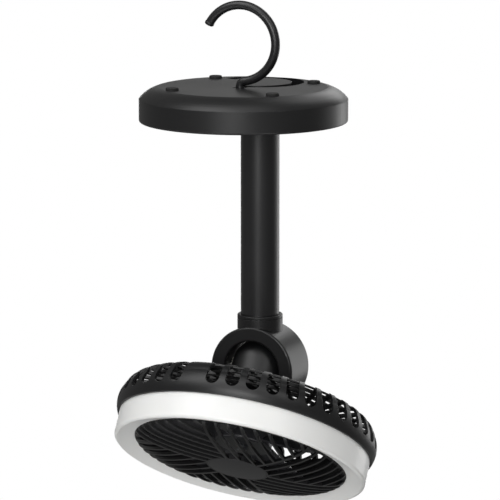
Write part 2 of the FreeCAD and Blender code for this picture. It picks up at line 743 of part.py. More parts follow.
def front_grille():
    """A domed pinwheel of parallel ribs between a rim and a round hub."""
    band = dome_band()
    ribs = [bar.common(band) for bar in rib_sector()]
    pieces = []
    for k in range(SPOKES):
        pieces += [turned(rib, 360.0 * k / SPOKES) for rib in ribs]
    rim = tube(GRILLE_R, GRILLE_R - GRILLE_RIM_T, -GRILLE_RIM_UP, GRILLE_RIM_H)
    hub = disc(GRILLE_HUB_R, -GRILLE_DOME, -GRILLE_DOME + RIB_DEEP + CAP_T)
    body = rim.fuse(pieces + [hub])
    seat = disc(CAP_R + CAP_FIT, -GRILLE_DOME - 1, -GRILLE_DOME + CAP_T)
    return head(body.cut(seat))


def grille_cap():
    """The plain round cap in the middle of the grille, slightly crowned."""
    top = -GRILLE_DOME
    low = -GRILLE_DOME + CAP_T
    crown_r = (CAP_R ** 2 + CAP_CROWN ** 2) / (2 * CAP_CROWN)
    half_r = CAP_R / 2
    half_z = top - CAP_CROWN + crown_r - math.sqrt(crown_r ** 2 - half_r ** 2)
    return head(revolved((0, low), (CAP_R, low), (CAP_R, top),
                         ((half_r, half_z), (0, top - CAP_CROWN))))


# light ring

def led_ring():
    """The milky ring: a channel with a round outer corner and a slightly dished inner face."""
    bore = GRILLE_R + RING_BORE_FIT
    crest = RING_R - RING_CORNER
    low = RING_CORNER - RING_PROUD
    diagonal = RING_CORNER * math.sqrt(0.5)
    outer = revolved(
        (bore, PARTING_H), (bore, 0),
        (((bore + crest) / 2, RING_DISH - RING_PROUD / 2), (crest, -RING_PROUD)),
        ((crest + diagonal, low - diagonal), (RING_R, low)), (RING_R, PARTING_H))
    t = RING_T
    inner = revolved(
        (bore + t, PARTING_H + 1), (bore + t, t),
        (((bore + RING_R) / 2, RING_DISH - RING_PROUD / 2 + t), (RING_R - t, t - RING_PROUD)),
        (RING_R - t, PARTING_H + 1))
    room = tube(BOARD_OUT_R + 5, GRILLE_R - 1, flange_front_h(), PARTING_H + 1)
    wall = tube(RING_R, RING_R - t, flange_front_h(), PARTING_H)
    return head(outer.cut(inner).cut(room.cut(wall)))


def flange_front_h():
    return PARTING_H - FLANGE_LED_T


def fan_shroud():
    """The duct round the blades, with the flange that carries the light's board."""
    duct_r = GRILLE_R - SHROUD_IN
    duct = tube(duct_r, duct_r - SHROUD_T, GRILLE_RIM_H, SHROUD_END_H)
    flange = tube(RING_R - RING_T - RING_BORE_FIT, duct_r - 1, flange_front_h(), PARTING_H)
    holes = [disc(HEAD_SCREW_R + SCREW_FIT, 0, 2 * PARTING_H, x, y) for x, y in boss_places()]
    return head(duct.fuse(flange).cut(holes))


def led_board():
    front = flange_front_h() - BOARD_T
    ring = tube(BOARD_OUT_R, BOARD_IN_R, front, flange_front_h())
    holes = [disc(HEAD_SCREW_HEAD_R + SCREW_FIT, 0, 2 * PARTING_H, x, y) for x, y in boss_places()]
    return head(ring.cut(holes))


def led_chips():
    along, across, high = LED_SIZE
    back = flange_front_h() - BOARD_T
    chip = block(LED_RING_R - across / 2, LED_RING_R + across / 2, -along / 2, along / 2, back - high, back)
    step = 360.0 / LED_COUNT
    chips = [turned(chip, step * (k + 0.5) + BLANK_ANGLES[0]) for k in range(LED_COUNT)]
    return head(Part.makeCompound(chips))


def boss_places():
    return [polar(BOSS_RING_R, angle) for angle in BLANK_ANGLES]


def head_screws():
    """Three screws that hold the shroud and its flange to the rear shell."""
    seat = flange_front_h()
    screws = []
    for x, y in boss_places():
        stem = disc(HEAD_SCREW_R, seat, seat + HEAD_SCREW_LEN, x, y)
        screws.append(stem.fuse(disc(HEAD_SCREW_HEAD_R, seat - HEAD_SCREW_HEAD_H, seat, x, y)))
    return head(Part.makeCompound(screws))


# rear shell

def shell_solid(inset):
    """The bowl's outline as a full solid, made smaller on every side by inset."""
    side = (SHELL_SIDE_R - inset, SHELL_SIDE_H)
    top = (SHELL_TOP_R - inset / 2, BACK_H - inset)
    mid = (side[0] - (side[0] - top[0]) * SHELL_CORNER[0], side[1] + (top[1] - side[1]) * SHELL_CORNER[1])
    return revolved(
        (0, PARTING_H), (SHELL_RIM_R - inset, PARTING_H),
        ((SHELL_MAX_R - inset, SHELL_MAX_H), side), (mid, top), (0, BACK_H - inset))


def slot_cutter():
    """A slot up the shell's side and over its shoulder, then in across its back, where it
    swirls and gets narrower. It is round at both ends and points along +X."""
    far = SHELL_MAX_R + 5
    half = SLOT_W / 2
    low = SLOT_LOW_H + half
    swirl = math.radians(SWIRL_DEG)
    offset = SWIRL_R * math.sin(swirl)
    length = SWIRL_R * math.cos(swirl) - math.sqrt(SLOT_IN_R ** 2 - offset ** 2)
    in_x, in_y = SWIRL_R - length * math.cos(swirl), length * math.sin(swirl)
    side_x, side_y = SLOT_IN_W / 2 * math.sin(swirl), SLOT_IN_W / 2 * math.cos(swirl)
    corners = [vec(far, -half, low), vec(far, half, low), vec(SWIRL_R, half, low),
               vec(in_x + side_x, in_y + side_y, low), vec(in_x - side_x, in_y - side_y, low),
               vec(SWIRL_R, -half, low)]
    prism = Part.Face(Part.makePolygon(corners + corners[:1])).extrude(vec(0, 0, BACK_H - low + 5))
    end = rod_x(half, SHELL_SIDE_R - 3 * SHELL_T, far, 0, low)
    inner_end = disc(SLOT_IN_W / 2, low, BACK_H + 5, in_x, in_y)
    return [prism, end, inner_end]


def rear_shell():
    """The slotted bowl behind the blades, with rings across its slots and the bearing tube."""
    bowl = shell_solid(0.0).cut(shell_solid(SHELL_T))
    seat = tube(SHELL_RIM_R - SHELL_T + JOIN_LAP, SHELL_RIM_R - SHELL_SEAT, PARTING_H, PARTING_H + SHELL_T)
    bowl = bowl.fuse(seat)
    cuts = []
    for k in range(SLOT_PLACES):
        if k not in SLOT_BLANKS:
            angle = -SLOT_FIRST_DEG - 360.0 * k / SLOT_PLACES
            cuts += [turned(piece, angle) for piece in slot_cutter()]
    bowl = bowl.cut(cuts)
    under = shell_solid(BACK_RING_UNDER)
    half_t = BACK_RING_T / 2
    adds = [tube(r + half_t, r - half_t, SHELL_IN_H - BACK_RING_OVER, BACK_H).common(under)
            for r in BACK_RINGS]
    tube_r = BEARING_R + BEARING_TUBE_T
    adds.append(tube(tube_r, BEARING_R, BEARING_FRONT_H, SHELL_IN_H + JOIN_LAP))
    inside = shell_solid(SHELL_T / 2)
    adds += [disc(BOSS_R, PARTING_H, BACK_H, x, y).common(inside) for x, y in boss_places()]
    bowl = bowl.fuse(adds)
    holes = [disc(HEAD_SCREW_R, PARTING_H - 1, PARTING_H + HEAD_SCREW_LEN, x, y) for x, y in boss_places()]
    holes += [disc(NECK_SCREW_R + SCREW_FIT, SHELL_IN_H - 1, BACK_H + 1, x, y)
              for x, y in neck_screw_places()]
    return head(bowl.cut(holes))


# motor and impeller

def bearing(front):
    return head(tube(BEARING_R, SHAFT_R + SHAFT_FIT, front, front + BEARING_T))


def motor_stator():
    """The stator's laminations: a core on the bearing tube with wide-ended teeth."""
    low, high = STATOR_MID_H - STATOR_H / 2, STATOR_MID_H + STATOR_H / 2
    core = disc(STATOR_CORE_R, low, high)
    shoes = tube(STATOR_R, STATOR_R - STATOR_SHOE_T, low, high)
    arm = block(0, STATOR_R - STATOR_SHOE_T / 2, -STATOR_TOOTH_W / 2, STATOR_TOOTH_W / 2, low, high)
    gap = block(STATOR_CORE_R + 1, STATOR_R + 1, -STATOR_SLOT_W / 2, STATOR_SLOT_W / 2, low - 1, high + 1)
    step = 360.0 / STATOR_TEETH
    body = core.fuse([shoes] + [turned(arm, step * k) for k in range(STATOR_TEETH)])
    body = body.cut([turned(gap, step * (k + 0.5)) for k in range(STATOR_TEETH)])
    return head(body.cut(disc(BEARING_R + BEARING_TUBE_T, low - 1, high + 1)))


def rotor_bell():
    """The motor's turning bell, which carries the magnets inside and the impeller outside."""
    wall = tube(HUB_IN_R, HUB_IN_R - ROTOR_T, ROTOR_FRONT_H, ROTOR_END_H)
    front = disc(HUB_IN_R, ROTOR_FRONT_H, ROTOR_FRONT_H + ROTOR_T)
    return head(wall.fuse(front).cut(disc(SHAFT_R, 0, ROTOR_END_H)))


def rotor_magnets():
    r_out = HUB_IN_R - ROTOR_T
    low, high = STATOR_MID_H - STATOR_H / 2, STATOR_MID_H + STATOR_H / 2
    return head(tube(r_out, r_out - MAGNET_T, low, high))


def motor_shaft():
    return head(disc(SHAFT_R, SHAFT_FRONT_H, BEARING_REAR_H + BEARING_T))


def blade_section(radius, chord, front_h, back_h, sweep_deg):
    """A thin cambered section across the radius, from the front edge to the back edge."""
    rise = back_h - front_h
    run = math.sqrt(max(chord ** 2 - rise ** 2, 1.0))

    def at(s, lift):
        y = -run / 2 + run * s - lift * rise / chord
        z = front_h + rise * s + lift * run / chord
        return vec(radius, y, z)

    t = BLADE_T / 2
    under = Part.Arc(at(0, -t), at(0.5, BLADE_CAMBER - t), at(1, -t)).toShape()
    over = Part.Arc(at(1, t), at(0.5, BLADE_CAMBER + t), at(0, t)).toShape()
    wire = Part.Wire([under, Part.makeLine(at(1, -t), at(1, t)), over, Part.makeLine(at(0, t), at(0, -t))])
    wire.rotate(ZERO, Z_AXIS, sweep_deg)
    return wire


def impeller():
    """A cup-shaped hub that fits over the motor's bell, with swept, twisted blades."""
    nose = ROTOR_FRONT_H
    bevel = HUB_NOSE * (1 - math.sqrt(0.5))
    hub = revolved((0, HUB_FRONT_H), (HUB_R - HUB_NOSE, HUB_FRONT_H),
                   ((HUB_R - bevel, HUB_FRONT_H + bevel), (HUB_R, HUB_FRONT_H + HUB_NOSE)),
                   (HUB_R, ROTOR_END_H), (HUB_IN_R, ROTOR_END_H), (HUB_IN_R, nose), (0, nose))
    mid_r = (HUB_R + BLADE_R) / 2
    root_front = HUB_FRONT_H + HUB_NOSE + BLADE_T / 2
    mid_back = (BLADE_ROOT_H + BLADE_TIP_H) / 2
    sections = [
        blade_section(HUB_IN_R + BLADE_T, BLADE_ROOT_CHORD, root_front, BLADE_ROOT_H, 0.0),
        blade_section(mid_r, BLADE_MID_CHORD, BLADE_FRONT_H, mid_back, BLADE_SWEEP_DEG / 2),
        blade_section(BLADE_R + 1, BLADE_TIP_CHORD, BLADE_FRONT_H, BLADE_TIP_H, BLADE_SWEEP_DEG),
    ]
    blade = Part.makeLoft(sections, True, True)
    blade = blade.common(tube(BLADE_R, HUB_IN_R + 1, 0, ROTOR_END_H))
    blades = [turned(blade, 360.0 * k / BLADES) for k in range(BLADES)]
    body = hub.fuse(blades)
    return head(body.cut(disc(SHAFT_R, 0, ROTOR_END_H)))


def impeller_nut():
    """The nut that holds the impeller on the shaft."""
    corners = [vec(*polar(NUT_R, 60.0 * k), HUB_FRONT_H - NUT_T) for k in range(7)]
    body = Part.Face(Part.makePolygon(corners)).extrude(vec(0, 0, NUT_T))
    return head(body.cut(disc(SHAFT_R, 0, HUB_FRONT_H + 1)))


def all_parts():
    parts = {
        "base_foot_cover": base_foot_cover(),
        "base_pole_cover": base_pole_cover(),
        "base_screws": base_screws(),
        "hook": hook(),
        "hook_pin": hook_pin(),
        "front_cell_cradle": front_cradle(),
        "right_cell_cradle": side_cradle(1),
        "left_cell_cradle": side_cradle(-1),
        "battery_cell_1": cell(0, CELL_FRONT_Y[0], True),
        "battery_cell_2": cell(0, CELL_FRONT_Y[1], True),
        "battery_cell_3": cell(CELL_SIDE_X, 0, False),
        "battery_cell_4": cell(-CELL_SIDE_X, 0, False),
        "panel_board": panel_board(),
        "touch_switches": touch_switches(),
        "battery_window": window_block(0.0, FLOOR_T),
        "fan_button": button(-1),
        "light_button": button(1),
        "charge_board": charge_board(),
        "usb_socket": usb_socket(),
        "pole": pole(),
        "pole_flange": pole_flange(),
        "flange_screws": flange_screws(),
        "pole_lead": pole_lead(),
        "yoke": yoke(),
        "neck": neck(),
        "neck_screws": neck_screws(),
        "tilt_pin_right": tilt_pin(1),
        "tilt_pin_left": tilt_pin(-1),
        "tilt_washer_right": tilt_washer(1),
        "tilt_washer_left": tilt_washer(-1),
        "front_grille": front_grille(),
        "grille_cap": grille_cap(),
        "led_ring": led_ring(),
        "led_board": led_board(),
        "led_chips": led_chips(),
        "fan_shroud": fan_shroud(),
        "head_screws": head_screws(),
        "rear_shell": rear_shell(),
        "bearing_front": bearing(BEARING_FRONT_H),
        "bearing_rear": bearing(BEARING_REAR_H),
        "motor_stator": motor_stator(),
        "rotor_bell": rotor_bell(),
        "rotor_magnets": rotor_magnets(),
        "motor_shaft": motor_shaft(),
        "impeller": impeller(),
        "impeller_nut": impeller_nut(),
    }
    for index in range(len(FOOT_ANGLES)):
        parts["foot_%d" % (index + 1)] = foot(index)
    return parts


os.makedirs("parts", exist_ok=True)
for name, shape in all_parts().items():
    shape.translate(vec(0, -HOOK_Y, -BOW_Z))
    shape.exportStep(os.path.join("parts", name + ".step"))
    print("%-18s solids %2d  valid %s  volume %9.1f" % (name, len(shape.Solids), shape.isValid(), shape.Volume))
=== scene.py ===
"""A rechargeable camping fan that hangs from a fold-down hook.

A flat round battery base is on top, with a tube down from it to a yoke, and the yoke carries a
tilting fan head with a milky light ring. Lengths here are millimetres unless a name ends in _m.
"""

import json
import logging
import math
from dataclasses import dataclass, field
from enum import Enum
from typing import Callable

import bpy
from mathutils import Matrix, Vector

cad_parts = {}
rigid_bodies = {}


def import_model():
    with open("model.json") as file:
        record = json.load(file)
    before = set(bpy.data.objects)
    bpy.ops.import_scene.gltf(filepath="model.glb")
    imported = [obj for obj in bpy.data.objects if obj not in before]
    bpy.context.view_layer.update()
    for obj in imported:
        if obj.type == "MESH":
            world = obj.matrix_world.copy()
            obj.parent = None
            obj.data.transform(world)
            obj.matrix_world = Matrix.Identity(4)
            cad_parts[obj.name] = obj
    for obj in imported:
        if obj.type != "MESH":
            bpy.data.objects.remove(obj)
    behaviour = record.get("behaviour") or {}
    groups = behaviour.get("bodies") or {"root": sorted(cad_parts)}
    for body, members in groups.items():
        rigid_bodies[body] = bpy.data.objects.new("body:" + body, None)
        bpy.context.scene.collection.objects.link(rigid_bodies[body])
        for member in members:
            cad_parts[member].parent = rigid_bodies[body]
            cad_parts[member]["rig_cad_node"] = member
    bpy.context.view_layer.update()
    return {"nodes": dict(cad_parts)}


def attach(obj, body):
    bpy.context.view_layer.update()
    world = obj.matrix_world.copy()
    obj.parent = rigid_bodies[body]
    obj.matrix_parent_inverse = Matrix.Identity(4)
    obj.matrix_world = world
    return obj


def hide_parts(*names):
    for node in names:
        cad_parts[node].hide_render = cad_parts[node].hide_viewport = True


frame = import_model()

MM = 0.001
SMOOTH_DEG = 40.0
DISC_SIDES = 64

# The fan head turns about its tilt pins and leans by this angle at rest. Its own frame starts
# below the pins, along the fan's axis.
TILT_PINS_MM = (0.0, 36.6, -265.8)
HEAD_LEAN_DEG = -31.75
HEAD_DROP_MM = 70.3

log = logging.getLogger("camping_fan")


# Colours and nodes


def colour(hex_code: str) -> tuple[float, float, float, float]:
    """Turn an sRGB hex colour into the linear values that a shader takes.

    Args:
        hex_code: six hex digits.

    Returns:
        Linear red, green, blue and an alpha of 1.
    """
    channels = [int(hex_code[i:i + 2], 16) / 255 for i in (0, 2, 4)]
    linear = [c / 12.92 if c <= 0.04045 else ((c + 0.055) / 1.055) ** 2.4 for c in channels]
    return (*linear, 1.0)


def add_node(
    tree: bpy.types.NodeTree,
    kind: str,
    values: dict[str | int, object] | None = None,
    links: dict[str | int, bpy.types.NodeSocket] | None = None,
    **settings: object,
) -> bpy.types.Node:
    """Add a node, set it up and link its inputs.

    Args:
        tree: the material's node tree.
        kind: the node's type.
        values: input names or numbers, and the value each keeps.
        links: input names or numbers, and the output that feeds each.
        **settings: the node's own options.

    Returns:
        The new node.
    """
    node = tree.nodes.new(kind)
    for key, value in settings.items():
        setattr(node, key, value)
    for key, value in (values or {}).items():
        node.inputs[key].default_value = value
    for key, socket in (links or {}).items():
        tree.links.new(socket, node.inputs[key])
    return node


# Finishes


@dataclass(frozen=True)
class Finish:
    """A surface: what it is made of and how it was made.

    Every finish has a base colour that drifts to a second one, fine grain in its height, and a
    roughness that varies a little. Subclasses add what their own making leaves on the surface.
    The name gives the material and the process, and every length is the size as drawn.
    """

    name: str
    base: str
    drift: str
    roughness: float
    grain_mm: float = 1.2
    depth_mm: float = 0.02
    drift_mm: float = 60.0
    roughness_swing: float = 0.08
    metallic: float = 0.0
    ior: float = 1.5
    edge_mm: float = 0.35
    edge_samples: int = 6

    def build(self) -> bpy.types.Material:
        """Make the material.

        Returns:
            The finished material.
        """
        material = bpy.data.materials.new(self.name)
        material.use_nodes = True
        tree = material.node_tree
        shader = tree.nodes["Principled BSDF"]
        shader.inputs["Metallic"].default_value = self.metallic
        shader.inputs["IOR"].default_value = self.ior
        place = add_node(tree, "ShaderNodeTexCoord").outputs["Object"]
        self.paint(tree, shader, place)
        self.relief(tree, shader, place)
        self.extras(shader)
        return material

    def paint(self, tree: bpy.types.NodeTree, shader: bpy.types.Node,
              place: bpy.types.NodeSocket) -> None:
        """Give the shader its drifting colour and its uneven roughness.

        Args:
            tree: the material's node tree.
            shader: the surface shader.
            place: the point on the object.
        """
        cloud = add_node(tree, "ShaderNodeTexNoise",
                         {"Scale": 1 / (self.drift_mm * MM), "Detail": 3.0}, {"Vector": place})
        mix = add_node(tree, "ShaderNodeMix", {6: colour(self.base), 7: colour(self.drift)},
                       {0: cloud.outputs[0]}, data_type="RGBA")
        tree.links.new(mix.outputs[2], shader.inputs["Base Color"])
        spread = add_node(tree, "ShaderNodeMapRange",
                          {"To Min": self.roughness - self.roughness_swing / 2,
                           "To Max": self.roughness + self.roughness_swing / 2},
                          {"Value": cloud.outputs[0]})
        tree.links.new(spread.outputs[0], shader.inputs["Roughness"])

    def height(self, tree: bpy.types.NodeTree,
               place: bpy.types.NodeSocket) -> bpy.types.NodeSocket:
        """Draw the surface's fine height.

        Args:
            tree: the material's node tree.
            place: the point on the object.

        Returns:
            The output that holds the height.
        """
        grain = add_node(tree, "ShaderNodeTexNoise",
                         {"Scale": 1 / (self.grain_mm * MM), "Detail": 2.0, "Roughness": 0.6},
                         {"Vector": place})
        return grain.outputs[0]

    def relief(self, tree: bpy.types.NodeTree, shader: bpy.types.Node,
               place: bpy.types.NodeSocket) -> None:
        """Round the edges a little and bump the surface with its grain.

        Args:
            tree: the material's node tree.
            shader: the surface shader.
            place: the point on the object.
        """
        edge = add_node(tree, "ShaderNodeBevel", {"Radius": self.edge_mm * MM},
                        samples=self.edge_samples)
        bump = add_node(tree, "ShaderNodeBump", {"Strength": 1.0, "Distance": self.depth_mm * MM},
                        {"Height": self.height(tree, place), "Normal": edge.outputs[0]})
        tree.links.new(bump.outputs[0], shader.inputs["Normal"])

    def extras(self, shader: bpy.types.Node) -> None:
        """Add nothing: a plain finish has no more."""


@dataclass(frozen=True)
class MilkyPolycarbonate(Finish):
    """Polycarbonate with diffusing powder, moulded with a polish: white, soft and a little deep."""

    depth_in_mm: float = 3.0
    share_in: float = 0.35
    reach_rgb: tuple[float, float, float] = (1.0, 0.95, 0.9)

    def extras(self, shader: bpy.types.Node) -> None:
        """Let light go a short way in and come out again.

        Args:
            shader: the surface shader.
        """
        shader.inputs["Subsurface Weight"].default_value = self.share_in
        shader.inputs["Subsurface Scale"].default_value = self.depth_in_mm * MM
        shader.inputs["Subsurface Radius"].default_value = self.reach_rgb


@dataclass(frozen=True)
class DrawnMetal(Finish):
    """Metal drawn or ground along one direction, which leaves long fine lines."""

    line_mm: float = 0.9
    along: tuple[float, float, float] = (1.0, 1.0, 0.02)

    def height(self, tree: bpy.types.NodeTree,
               place: bpy.types.NodeSocket) -> bpy.types.NodeSocket:
        """Draw long lines, made from noise that is stretched along the draw.

        Args:
            tree: the material's node tree.
            place: the point on the object.

        Returns:
            The output that holds the height.
        """
        stretch = add_node(tree, "ShaderNodeMapping", {"Scale": self.along}, {"Vector": place})
        lines = add_node(tree, "ShaderNodeTexNoise",
                         {"Scale": 1 / (self.line_mm * MM), "Detail": 4.0},
                         {"Vector": stretch.outputs[0]})
        return lines.outputs[0]


@dataclass(frozen=True)
class PowderCoat(Finish):
    """Powder baked onto steel: even, with the low bumps of orange peel."""

    peel_mm: float = 2.2
    skin: float = 0.15
    skin_roughness: float = 0.3

    def height(self, tree: bpy.types.NodeTree,
               place: bpy.types.NodeSocket) -> bpy.types.NodeSocket:
        """Draw soft round cells as wide as the peel's bumps.

        Args:
            tree: the material's node tree.
            place: the point on the object.

        Returns:
            The output that holds the height.
        """
        cells = add_node(tree, "ShaderNodeTexVoronoi", {"Scale": 1 / (self.peel_mm * MM)},
                         {"Vector": place}, feature="SMOOTH_F1")
        return cells.outputs["Distance"]

    def extras(self, shader: bpy.types.Node) -> None:
        """Add the thin clear skin that baking leaves."""
        shader.inputs["Coat Weight"].default_value = self.skin
        shader.inputs["Coat Roughness"].default_value = self.skin_roughness


@dataclass(frozen=True)
class StackedSheet(Finish):
    """Stamped steel sheets in a stack: fine bands across the stack's height.

    The wave pattern repeats about every 0.16 of its unit, so that share sets its scale.
    """

    sheet_mm: float = 1.0
    wave_share: float = 0.16

    def height(self, tree: bpy.types.NodeTree,
               place: bpy.types.NodeSocket) -> bpy.types.NodeSocket:
        """Draw bands that are twice as thick as real sheets, so that they show.

        Args:
            tree: the material's node tree.
            place: the point on the object.

        Returns:
            The output that holds the height.
        """
        bands = add_node(tree, "ShaderNodeTexWave",
                         {"Scale": self.wave_share / (self.sheet_mm * MM)}, {"Vector": place},
                         bands_direction="Z")
        return bands.outputs[0]


@dataclass(frozen=True)
class PrintedBoard(Finish):
    """Glass laminate under green lacquer, with the raised lines of the copper below it."""

    tile_mm: float = 10.0
    track_share: float = 0.03

    def height(self, tree: bpy.types.NodeTree,
               place: bpy.types.NodeSocket) -> bpy.types.NodeSocket:
        """Draw the square-edged lines of copper tracks around tiles.

        Args:
            tree: the material's node tree.
            place: the point on the object.

        Returns:
            The output that holds the height.
        """
        tracks = add_node(tree, "ShaderNodeTexBrick",
                          {"Scale": 1 / (self.tile_mm * MM), "Mortar Size": self.track_share},
                          {"Vector": place})
        return tracks.outputs["Fac"]


# Spark-eroded ABS: the pits are about 0.1 mm wide, drawn at 1.3 mm so that they show as a
# quiet, even mattness that breaks up highlights.
SHELL_BLACK = Finish("abs_black_spark_eroded", "101011", "141415", 0.39, grain_mm=1.3,
                     depth_mm=0.02)
# The same ABS from a finer tool, so a highlight on the cap and keys is a little tighter.
CAP_BLACK = Finish("abs_black_satin", "171719", "1B1B1D", 0.36, grain_mm=1.0, depth_mm=0.012)
# Nylon with glass in it, moulded smooth for the air: a tight highlight over a slow 25 mm drift
# of tone, and flow marks 3 mm apart.
BLADE_BLACK = Finish("nylon_black_moulded", "29292B", "333336", 0.32, grain_mm=3.0,
                     depth_mm=0.015, drift_mm=25.0)
# Polycarbonate with diffusing powder, from a polished tool: a white that light goes 3 mm into,
# so its edges glow a little, under faint flow marks 2.5 mm apart.
RING_WHITE = MilkyPolycarbonate("polycarbonate_milky_polished", "F1F1EF", "ECECEA", 0.32,
                                grain_mm=2.5, depth_mm=0.01, roughness_swing=0.04, ior=1.58)
# Aluminium tube, drawn and then anodised black: the dyed oxide looks like a satin dark glaze,
# with faint draw lines 0.9 mm apart along its length.
TUBE_BLACK = DrawnMetal("aluminium_black_anodised", "0F0F11", "131315", 0.34, depth_mm=0.006,
                        metallic=0.0, ior=1.6)
# Steel wire in baked powder: satin under a thin clear skin, with the orange peel's bumps, about
# 0.5 mm on the real wire and drawn at 2.2 mm so that they show.
HOOK_BLACK = PowderCoat("steel_black_powder_coated", "101012", "151517", 0.38, depth_mm=0.03)
# Silicone rubber: dead matte, with the faint dust that it always holds, in 6 mm clouds.
FOOT_BLACK = Finish("silicone_black_moulded", "131313", "191918", 0.78, grain_mm=0.9,
                    depth_mm=0.03, drift_mm=6.0)
# ABS from an unpolished tool, as inside parts are: flat and a little grey, with 1.5 mm tool marks.
CRADLE_BLACK = Finish("abs_black_unpolished", "1E1E20", "242426", 0.6, grain_mm=1.5)
# PVC film shrunk over a steel can: a tight shine broken by slack waves 8 mm wide.
CELL_BLUE = Finish("pvc_film_blue_shrunk", "1E4F86", "235A94", 0.35, grain_mm=8.0, depth_mm=0.05)
# Glass laminate under green lacquer: a soft shine over raised copper tracks, on a 10 mm by 5 mm
# layout so that they show.
BOARD_GREEN = PrintedBoard("laminate_green_lacquered", "14522B", "185C31", 0.38, depth_mm=0.05)
# Polyamide, moulded: dull dark grey, with a fine 0.8 mm grain.
SWITCH_GREY = Finish("polyamide_grey_moulded", "2A2A2C", "303032", 0.5, grain_mm=0.8)
# Smoked polycarbonate, polished: it reads as dark glass, nearly without grain.
WINDOW_SMOKE = Finish("polycarbonate_smoked_polished", "2B2B2E", "303034", 0.12, grain_mm=4.0,
                      depth_mm=0.004, roughness_swing=0.03, ior=1.58)
# Steel plated with nickel: a warm bright metal with rolling lines 0.9 mm apart.
NICKEL = DrawnMetal("steel_nickel_plated", "C9C7C1", "BEBCB6", 0.25, metallic=1.0,
                    depth_mm=0.004, along=(1.0, 0.05, 1.0))
# Steel plated with zinc and passivated: a cool grey shine in 4 mm clouds.
ZINC = Finish("steel_zinc_plated", "A9ABAE", "9DA0A6", 0.34, grain_mm=0.8, depth_mm=0.01,
              drift_mm=4.0, metallic=1.0)
# Steel pin, ground round: bright, with grinding lines around it, drawn 0.9 mm apart to show.
GROUND_STEEL = DrawnMetal("steel_ground", "B4B4B2", "A8A8A6", 0.22, metallic=1.0, depth_mm=0.004,
                          along=(0.02, 1.0, 1.0))
# Natural nylon, turned: a waxy off-white with tool marks 1 mm apart.
NYLON = Finish("nylon_natural_turned", "DAD8CC", "D2D0C4", 0.45, grain_mm=1.0)
# PVC sheath, extruded: soft black with a 1.6 mm ripple from the die.
SHEATH = Finish("pvc_black_extruded", "171718", "1C1C1D", 0.5, grain_mm=1.6)
# Silicone with yellow phosphor, dropped on the chip: glossy, with 2 mm clouds of powder.
PHOSPHOR = Finish("silicone_yellow_phosphor", "E8D36A", "E2C95A", 0.3, grain_mm=0.8,
                  drift_mm=2.0)
# Bronze powder, pressed and sintered: an open, dull metal with pores drawn at 0.6 mm to show.
BRONZE = Finish("bronze_sintered", "8C6A3C", "7C5C32", 0.5, grain_mm=0.6, depth_mm=0.04,
                drift_mm=3.0, metallic=1.0)
# Silicon steel sheets of 0.5 mm, stamped and stacked: grey metal in bands, drawn 1 mm thick.
LAMINATIONS = StackedSheet("steel_sheet_stamped", "6E6F73", "65666A", 0.4, depth_mm=0.05,
                           metallic=1.0)
# Ferrite, pressed and sintered: a dull charcoal with a 0.8 mm grain.
FERRITE = Finish("ferrite_sintered", "2C2B2B", "343332", 0.6, grain_mm=0.8, drift_mm=4.0)
# Gold flash over nickel on the socket's contacts, with stamping lines 0.3 mm apart.
GOLD = DrawnMetal("nickel_gold_flashed", "C8A24A", "BD9640", 0.24, metallic=1.0, depth_mm=0.004,
                  line_mm=0.3, along=(1.0, 0.05, 1.0))
# Epoxy, moulded around a chip: a dull black with a 0.5 mm grain.
EPOXY_BLACK = Finish("epoxy_black_moulded", "1A1A1B", "212122", 0.48, grain_mm=0.5,
                     depth_mm=0.015, drift_mm=3.0)
# Fired ceramic, as on a small capacitor: tan and dull, speckled at 0.4 mm.
CERAMIC_TAN = Finish("ceramic_tan_fired", "9A7B58", "8A6B49", 0.5, grain_mm=0.4, depth_mm=0.01,
                     drift_mm=1.5)
# Enamelled copper wire, wound: red-brown under a clear enamel, with turns 0.6 mm apart.
COPPER = DrawnMetal("copper_enamelled_wound", "8A3F1C", "9C4A22", 0.3, metallic=1.0,
                    depth_mm=0.05, line_mm=0.6, along=(1.0, 1.0, 0.3))
# Grey ABS, the second shot of a two-shot moulding: the raised marks on the keys.
KEY_GREY = Finish("abs_grey_two_shot", "8E8F92", "85868A", 0.45, grain_mm=0.8, depth_mm=0.01)


class Dresser:
    """Builds each finish once and gives it to the frame's nodes and to new pieces."""

    def __init__(self) -> None:
        """Start with no material made."""
        self._made: dict[str, bpy.types.Material] = {}

    def material(self, finish: Finish) -> bpy.types.Material:
        """Give the finish's material, made on first use.

        Args:
            finish: the surface.

        Returns:
            Its material.
        """
        if finish.name not in self._made:
            self._made[finish.name] = finish.build()
        return self._made[finish.name]

    def dress(self, finish: Finish, *nodes: str) -> None:
        """Give a finish to nodes of the frame.

        Args:
            finish: the surface.
            *nodes: names of the frame's nodes.
        """
        for node in nodes:
            item = frame["nodes"][node]
            item.data.materials.clear()
            item.data.materials.append(self.material(finish))
            log.info("%s is dressed in %s", node, finish.name)

    def piece(self, item: bpy.types.Object, finish: Finish, body: str, slot: str) -> None:
        """Finish a new piece and let it ride with its body.

        Args:
            item: the new object.
            finish: its surface.
            body: the moving body that carries it.
            slot: the record's material slot that it belongs to; not used.
        """
        item.data.materials.clear()
        item.data.materials.append(self.material(finish))
        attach(item, body)
        log.info("%s is built, %d faces", item.name, len(item.data.polygons))


# Making new pieces


class Mark(Enum):
    """The plain raised marks on the two keys."""

    POWER = "power"
    LIGHT = "light"


def deselect() -> None:
    """Leave edit mode if it is on, and select nothing."""
    if bpy.context.object and bpy.context.object.mode == "EDIT":
        bpy.ops.object.mode_set(mode="OBJECT")
    bpy.ops.object.select_all(action="DESELECT")


def moved(place_mm: tuple[float, float, float] | Vector) -> Matrix:
    """Return the matrix that moves a piece by a step in millimetres."""
    return Matrix.Translation(Vector(place_mm) * MM)


